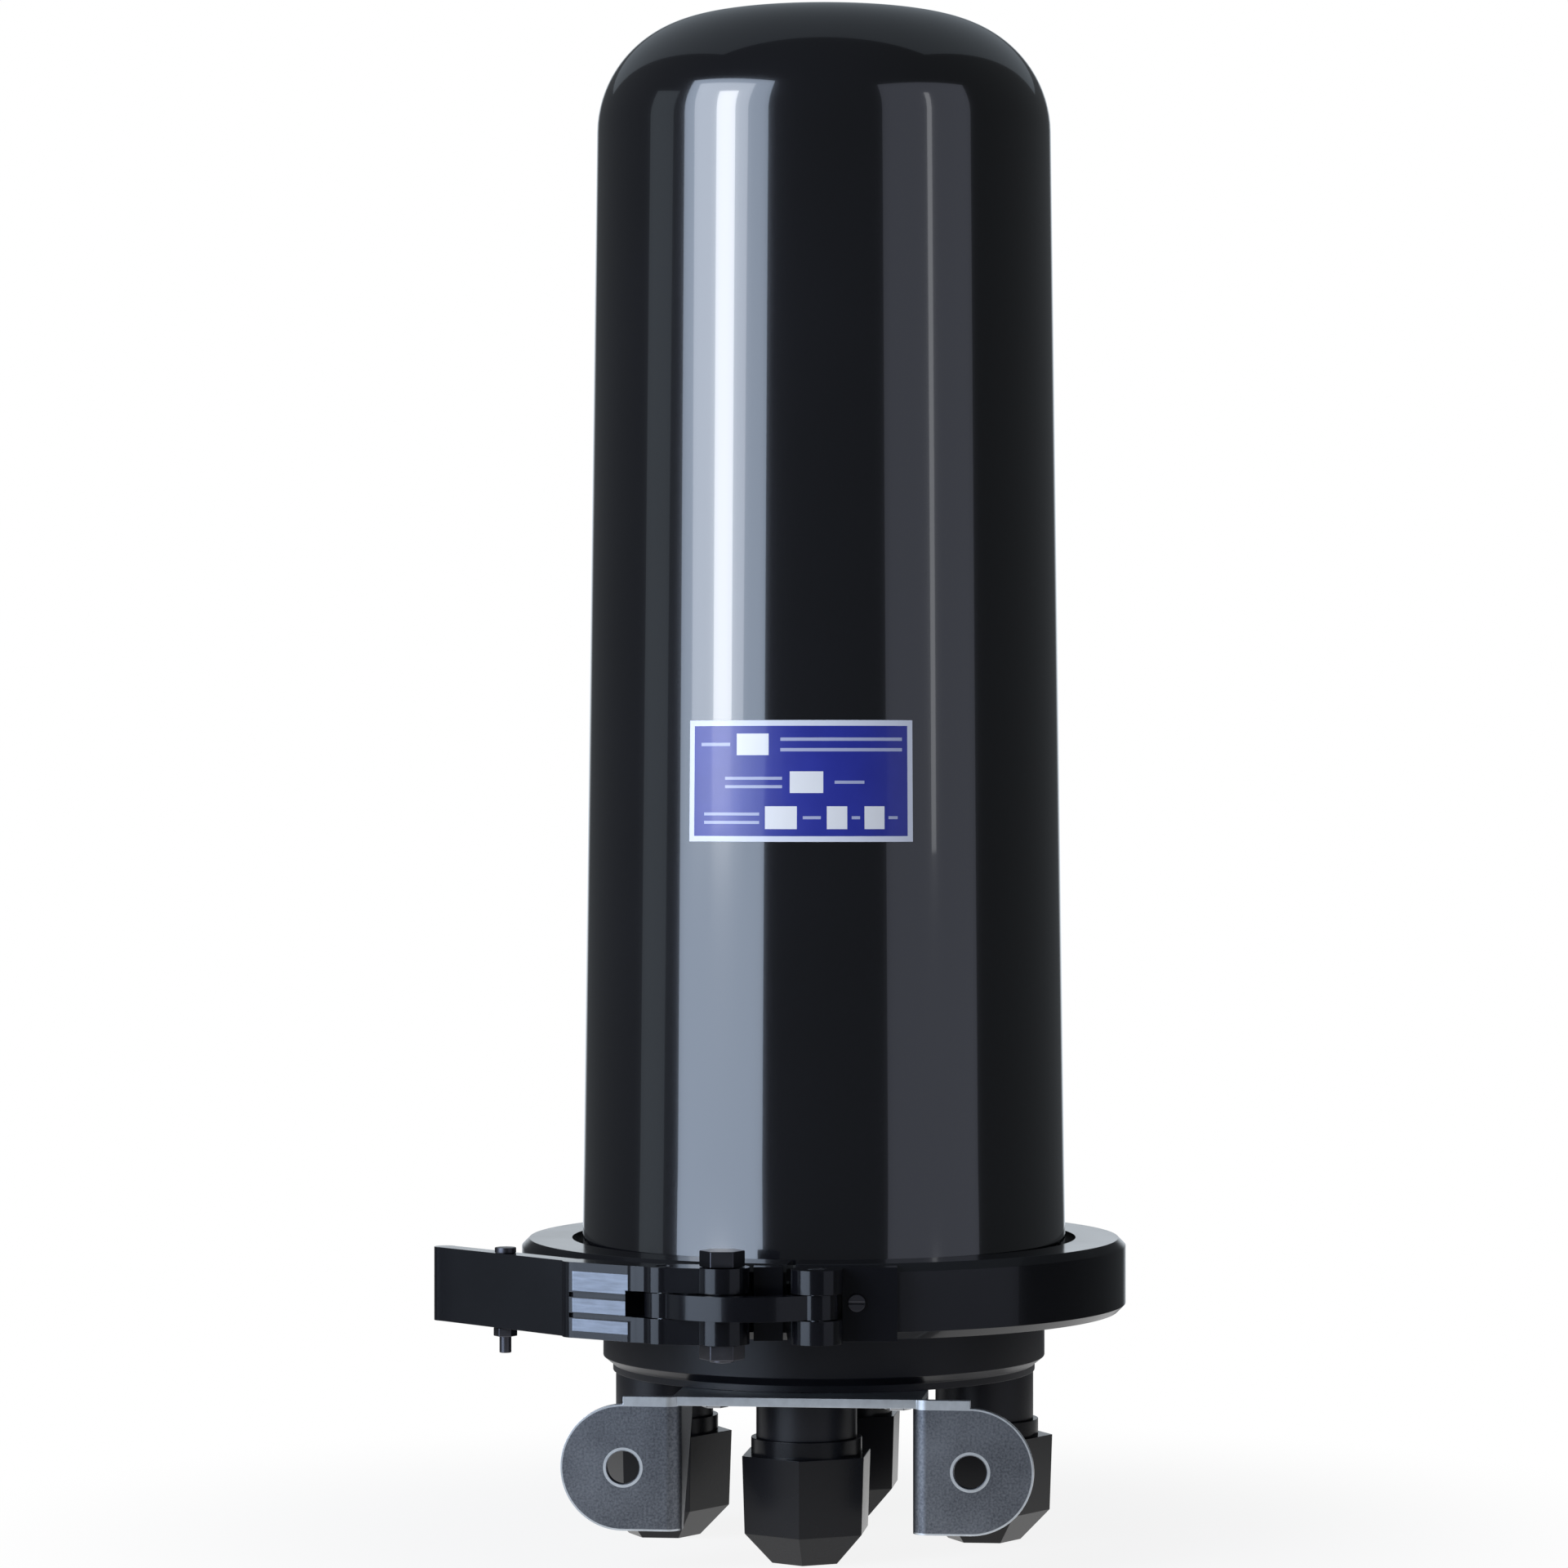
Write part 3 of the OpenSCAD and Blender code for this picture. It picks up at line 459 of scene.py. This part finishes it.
# %% The label's print
label_low, label_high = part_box("label")
label_middle_z = (label_low.z + label_high.z) / 2
label_half_h = (label_high.z - label_low.z) / 2
label_r = axis_y - label_low.y
label_border = 1.9
label_half_w = label_r * math.asin((label_high.x - axis_x) / label_r)
print("label half width", round(label_half_w, 4), "half height", round(label_half_h, 4))

white_fields = [  # across and up from the middle, half width, half height, in millimetres
    (-15.6, 12.2, 5.6, 3.6), (2.8, -0.4, 5.6, 3.6),
    (-5.8, -12.2, 5.4, 3.8), (13.0, -12.2, 3.4, 3.8), (25.6, -12.2, 3.4, 3.8),
]
pale_rules = [
    (-29.0, 12.2, 5.4, 0.55), (14.6, 13.9, 20.6, 0.55), (14.6, 10.4, 20.6, 0.55),
    (-15.4, 0.9, 10.0, 0.5), (-15.4, -1.9, 10.0, 0.5), (17.2, -0.4, 5.0, 0.5),
    (-23.2, -11.0, 10.0, 0.5), (-23.2, -13.8, 10.0, 0.5), (4.6, -12.2, 3.0, 0.5),
    (19.3, -12.2, 1.4, 0.5), (32.0, -12.2, 1.6, 0.5),
]


def printed_label():
    finish = Finish("label_blue", Coat_Weight=0.4, Coat_Roughness=0.08)
    x, y, z = finish.parts_of(finish.add("ShaderNodeTexCoord", out="Object"))
    along = x.math("ARCTAN2", x - axis_x, axis_y - y) * (label_r / mm)
    up = (z - label_middle_z) / mm

    def box(cx, cz, half_w, half_h):
        return (abs(along - cx) < half_w) * (abs(up - cz) < half_h)

    inside = box(0, 0, label_half_w / mm - label_border, label_half_h / mm - label_border)
    fields = sum((box(*field) for field in white_fields), 0.0)
    rules = sum((box(*rule) for rule in pale_rules), 0.0)
    patches = finish.noise(60, detail=3.0)
    ink = finish.ramp(patches, [(0.3, (0.021, 0.029, 0.29)), (0.7, (0.028, 0.038, 0.34))])
    ruled = finish.blend(rules * 0.75, ink, (0.62, 0.64, 0.78))
    filled = finish.blend(fields, ruled, (0.95, 0.92, 0.90))
    finish.feed(
        Base_Color=finish.blend(inside, (0.82, 0.82, 0.88), filled),
        Roughness=finish.noise(40) * 0.2 + 0.25,
    )
    return finish.material


finishes["label_blue"] = printed_label()

# %% [markdown]
# ## Edges
# Real mouldings and sheet metal have no razor edges: a rounded edge catches a thin line of light, and on a
# black object those lines draw the shape. Each visible node is copied, its triangles are merged back into
# whole faces, and a Bevel modifier rounds what is left of its edges. Weighted normals keep the large faces
# flat beside the rounding. The copy then stands for the node, and rides on the node's body.

# %% The edge-rounding helper
def alone(thing):
    """Makes thing the only selected and active object."""
    bpy.ops.object.select_all(action="DESELECT")
    thing.select_set(True)
    bpy.context.view_layer.objects.active = thing


def settle(piece, name, node):
    """Names a finished piece, gives it its finish and its body, and puts it in the node's place."""
    piece.name = name
    piece.data.name = name
    piece.data.materials.clear()
    piece.data.materials.append(finishes[slot_of[node]])
    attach(piece, body_of[node])
    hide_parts(node)
    print(name, len(piece.data.polygons), "faces, for", node)
    return piece


merge_gap = 0.01 * mm
flat_angle = math.radians(0.8)
edge_angle = math.radians(30)
smooth_angle = math.radians(28)


def rounded(node, name, width):
    """A copy of a node with its edges rounded by width."""
    alone(frame["nodes"][node])
    bpy.ops.object.duplicate(linked=False)
    piece = bpy.context.active_object
    bpy.ops.object.parent_clear(type="CLEAR_KEEP_TRANSFORM")
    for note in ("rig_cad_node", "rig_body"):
        del piece[note]
    bpy.ops.object.mode_set(mode="EDIT")
    bpy.ops.mesh.select_all(action="SELECT")
    bpy.ops.mesh.remove_doubles(threshold=merge_gap)
    bpy.ops.mesh.dissolve_limited(angle_limit=flat_angle)
    bpy.ops.object.mode_set(mode="OBJECT")
    bevel = piece.modifiers.new("rounding", "BEVEL")
    bevel.width = width
    bevel.segments = 2
    bevel.limit_method = "ANGLE"
    bevel.angle_limit = edge_angle
    bpy.ops.object.modifier_apply(modifier="rounding")
    bpy.ops.object.shade_smooth_by_angle(angle=smooth_angle)
    flat = piece.modifiers.new("flat_faces", "WEIGHTED_NORMAL")
    flat.keep_sharp = True
    bpy.ops.object.modifier_apply(modifier="flat_faces")
    return settle(piece, name, node)


# %% [markdown]
# ## Turned pieces
# The dome is a body of revolution, and its gloss shows every facet. So it isn't a copy: its profile is
# drawn point by point, by extruding one vertex, and then spun round the axis in many steps.

# %% The spinning helper
def arc(centre_r, centre_z, radius, start, end, count):
    """Points on an arc of the profile, angles in degrees from the horizontal."""
    turns = [math.radians(start + (end - start) * k / count) for k in range(count + 1)]
    return [(centre_r + radius * math.cos(t), centre_z + radius * math.sin(t)) for t in turns]


spin_steps = 256


def turned(name, profile):
    """Spins a closed profile of (radius, height) points round the closure's axis."""
    bpy.ops.object.select_all(action="DESELECT")
    start = Vector((axis_x + profile[0][0], axis_y, profile[0][1]))
    bpy.ops.mesh.primitive_plane_add(size=0.001, location=start)
    piece = bpy.context.active_object
    bpy.ops.object.transform_apply(location=True, rotation=True, scale=True)
    bpy.ops.object.mode_set(mode="EDIT")
    bpy.ops.mesh.select_all(action="SELECT")
    bpy.ops.mesh.merge(type="CENTER")
    for (r0, z0), (r1, z1) in zip(profile, profile[1:]):
        bpy.ops.mesh.extrude_region_move(TRANSFORM_OT_translate={"value": (r1 - r0, 0, z1 - z0)})
    bpy.ops.mesh.select_all(action="SELECT")
    bpy.ops.mesh.spin(steps=spin_steps, angle=2 * math.pi, center=(axis_x, axis_y, 0), axis=(0, 0, 1))
    bpy.ops.mesh.select_all(action="SELECT")
    bpy.ops.mesh.remove_doubles(threshold=merge_gap)
    bpy.ops.mesh.normals_make_consistent(inside=False)
    bpy.ops.object.mode_set(mode="OBJECT")
    bpy.ops.object.shade_smooth_by_angle(angle=math.radians(20))
    piece.name = name
    return piece


# %% [markdown]
# ## The dome
# A tapered tube with a rounded shoulder and a slightly crowned top. The straight wall leans in by less than
# a degree, and the shoulder's arc starts upright, so a faint line runs round the dome where they meet. The
# foot widens into the flange that the clamp grips, with a small fillet where it leaves the wall.

# %% Spin the dome
foot_r = 84 * mm
top_r = 79 * mm
wall = 3.2 * mm
shoulder_r = 40 * mm
shoulder_z = face_z + 396 * mm
rim = 6 * mm
slope = math.tan(math.radians(15))
foot_z = face_z + rim + (flange_r - foot_r) * slope
shoulder_in = top_r - shoulder_r

outside = (
    [(flange_r - 0.6 * mm, face_z), (flange_r, face_z + 0.6 * mm), (flange_r, face_z + rim - 0.6 * mm)]
    + [(flange_r - 0.8 * mm, face_z + rim + 0.2 * mm), (foot_r + 2.4 * mm, foot_z - 2.4 * mm * slope)]
    + [(foot_r + 1.1 * mm, foot_z + 0.1 * mm), (foot_r + 0.3 * mm, foot_z + 0.9 * mm)]
    + [(foot_r, foot_z + 2.4 * mm)]
    + [(foot_r + (top_r - foot_r) * k / 12, foot_z + (shoulder_z - foot_z) * k / 12) for k in range(1, 12)]
    + arc(shoulder_in, shoulder_z, shoulder_r, 0, 88, 22)
    + [(shoulder_in * 0.6, crown_z - 0.45 * mm), (shoulder_in * 0.3, crown_z - 0.12 * mm)]
    + [(0.3 * mm, crown_z)]
)
inside = (
    [(0.3 * mm, crown_z - wall), (shoulder_in, shoulder_z + shoulder_r - wall)]
    + arc(shoulder_in, shoulder_z, shoulder_r - wall, 80, 0, 8)
    + [(foot_r - wall, foot_z), (foot_r - wall, face_z), (flange_r - 0.6 * mm, face_z)]
)
dome_shell = turned("dome_shell", outside + inside)
settle(dome_shell, "dome_shell", "dome")

# %% [markdown]
# ## The clamp, the latch and the base
# These are moulded and machined shapes, so they are copies with rounded edges. The rounding grows with the
# piece: about a millimetre on the ring, a third of one on the small screws.

# %% Round the edges of the black mouldings
for node, width in (
    ("base", 0.8), ("clamp_half_fixed", 0.8), ("clamp_half_hinged", 0.8), ("lever", 0.7), ("link", 0.6),
    ("gland_nut_front", 0.9), ("gland_nut_right", 0.9), ("gland_nut_rear", 0.9), ("gland_nut_left", 0.9),
):
    rounded(node, node + "_moulding", width * mm)

# %% Round the edges of the metal and the label
for node, width in (
    ("bracket", 0.45), ("bracket_bolts", 0.3), ("fulcrum_bolt", 0.35), ("fulcrum_nut", 0.35),
    ("lock_screw", 0.25), ("lug_screw", 0.2), ("clamp_hinge_pin", 0.3), ("lever_pin", 0.3),
    ("catch_pin", 0.3), ("label", 0.12),
):
    rounded(node, node + "_finished", width * mm)

# %% [markdown]
# ## Everything inside
# The sealed inner pieces keep their own meshes, which are already plain mouldings, and take the finish of
# their slot.

# %% Finish the carried-over nodes
inner = [node for node, thing in frame["nodes"].items() if not thing.hide_render]
for node in inner:
    frame["nodes"][node].data.materials.clear()
    frame["nodes"][node].data.materials.append(finishes[slot_of[node]])
print(len(inner), "nodes keep their own mesh")

# %% [markdown]
# ## The studio
# A round pale floor lies under the object, and past it everything the camera sees is white. A glossy black
# dome shows whatever stands round it, so in its gloss the room is dark, apart from the white behind the
# object and the soft boxes: a tall bright one at the left gives the long highlight, a dim one at the right
# gives the grey band, and one above lights the shoulder.

# %% The floor
floor_r = 0.62
shadow_from, shadow_to = 0.10, 0.34
gloss_from, gloss_to = 0.08, 0.60
shadow_share = 0.12


def pale_floor():
    """White as seen and in a gloss, with the shadow kept near the object."""
    finish = Finish("studio_white", Roughness=0.9)
    x, y, z = finish.parts_of(finish.add("ShaderNodeTexCoord", out="Object"))
    away = x.math("SQRT", (x - axis_x) * (x - axis_x) + (y - axis_y) * (y - axis_y))
    pale = finish.ramp(finish.noise(3), [(0.3, (0.86, 0.86, 0.86)), (0.7, (0.88, 0.88, 0.88))])
    far = finish.fade(away, gloss_from, gloss_to)
    finish.feed(Base_Color=finish.blend(far, pale, (0.03, 0.03, 0.03)))
    camera, gloss = finish.rays()
    clear_of_shadow = finish.fade(away, shadow_from, shadow_to) * shadow_share + (1 - shadow_share)
    seen = x.math("MINIMUM", camera * clear_of_shadow + gloss * (1 - far), 1.0)
    glow = finish.add("ShaderNodeEmission", Color=(1, 1, 1, 1), Strength=1.0)
    mixed = finish.add("ShaderNodeMixShader").socket.node
    plug(finish.tree, seen, mixed.inputs[0])
    finish.tree.links.new(finish.shader.outputs[0], mixed.inputs[1])
    finish.tree.links.new(glow.socket, mixed.inputs[2])
    finish.tree.links.new(mixed.outputs[0], finish.output.inputs["Surface"])
    return finish.material


bpy.ops.object.select_all(action="DESELECT")
floor_middle = (axis_x, axis_y, floor_z)
bpy.ops.mesh.primitive_circle_add(vertices=96, radius=floor_r, fill_type="NGON", location=floor_middle)
studio_floor = bpy.context.active_object
bpy.ops.object.transform_apply(location=True, rotation=True, scale=True)
studio_floor.name = "studio_floor"
studio_floor.data.materials.append(pale_floor())

# %% [markdown]
# A lamp's place is given by its bearing from the axis, seen from above and counted from the camera's side,
# to the left as minus. What a round dome shows at an angle comes from twice that angle.

# %% Soft boxes
camera_azimuth = math.radians(6)
lamp_aim = Vector((axis_x, axis_y, 0.22))


def soft_box(name, bearing, elevation, distance, width, height, radiance, colour=(1, 1, 1)):
    """A rectangular lamp that faces the middle of the dome."""
    turn = camera_azimuth + math.radians(bearing)
    rise = math.radians(elevation)
    out = Vector((math.sin(turn) * math.cos(rise), -math.cos(turn) * math.cos(rise), math.sin(rise)))
    lamp = bpy.data.lights.new(name, "AREA")
    lamp.shape = "RECTANGLE"
    lamp.size = width
    lamp.size_y = height
    lamp.color = colour
    lamp.energy = radiance * math.pi * width * height
    holder = bpy.data.objects.new(name, lamp)
    bpy.context.scene.collection.objects.link(holder)
    holder.location = lamp_aim + out * distance
    holder.rotation_euler = (-out).to_track_quat("-Z", "Y").to_euler()
    holder.visible_camera = False
    print(name, "power", round(lamp.energy, 1))
    return holder


soft_box("left_box", -50, 8, 1.6, 1.30, 1.9, 3.4, (0.66, 0.79, 1.0))
soft_box("left_glow", -52, 18.3, 1.57, 0.78, 1.0, 1.9, (0.9, 0.93, 1.0))
soft_box("left_core", -49, 15, 1.55, 0.26, 0.8, 4.6)
soft_box("left_fill", -88, 5, 1.8, 0.5, 1.6, 0.28, (0.75, 0.88, 1.0))
soft_box("right_panel", 53, 6, 1.7, 1.5, 1.9, 0.42, (0.76, 0.81, 1.0))
soft_box("right_seam", 53, 14, 1.6, 0.07, 0.8, 1.3, (0.95, 0.97, 1.0))
soft_box("back_top_box", 180, 63, 1.6, 2.6, 2.4, 0.15, (0.76, 0.88, 1.0))

# %% [markdown]
# The world is a plain colour by direction. For the camera it is white all round. For gloss and glass it is
# white only in a band behind the object, where a backdrop would stand, and nearly dark in front.

# %% The world
world = bpy.data.worlds.new("studio_room")
world.use_nodes = True
bpy.context.scene.world = world
room = Graph(world.node_tree)
toward_x, toward_y, toward_z = room.parts_of(room.add("ShaderNodeTexCoord", out="Generated"))
straight_back = toward_y * math.cos(camera_azimuth) - toward_x * math.sin(camera_azimuth)
room_camera, room_gloss = room.rays()
lit = room_camera + room_gloss * room.fade(straight_back, 0.945, 0.995)
dim = 0.07
background = world.node_tree.nodes["Background"]
plug(room.tree, room.blend(room_camera, (0.86, 0.93, 1.0), (1, 1, 1)), background.inputs["Color"])
plug(room.tree, lit.math("MINIMUM", lit * (1 - dim) + dim, 1.0), background.inputs["Strength"])

# %% [markdown]
# ## The camera
# It stands level, a little to the right of the bracket's side, at about the height of the closure's middle,
# and far enough away that the sides of the dome stay parallel.

# %% Camera
lens_data = bpy.data.cameras.new("studio_camera")
studio_camera = bpy.data.objects.new("studio_camera", lens_data)
bpy.context.scene.collection.objects.link(studio_camera)
camera_distance = 1.75
camera_height = 0.262
studio_camera.location = (
    axis_x + camera_distance * math.sin(camera_azimuth),
    axis_y - camera_distance * math.cos(camera_azimuth),
    floor_z + camera_height,
)
studio_camera.rotation_euler = (math.radians(90), 0, camera_azimuth)
lens_data.sensor_width = 36
lens_data.lens = 115.3
lens_data.shift_x = -0.0255
bpy.context.scene.camera = studio_camera
bpy.context.scene.view_settings.view_transform = "Standard"
print("camera at", [round(v, 3) for v in studio_camera.location])
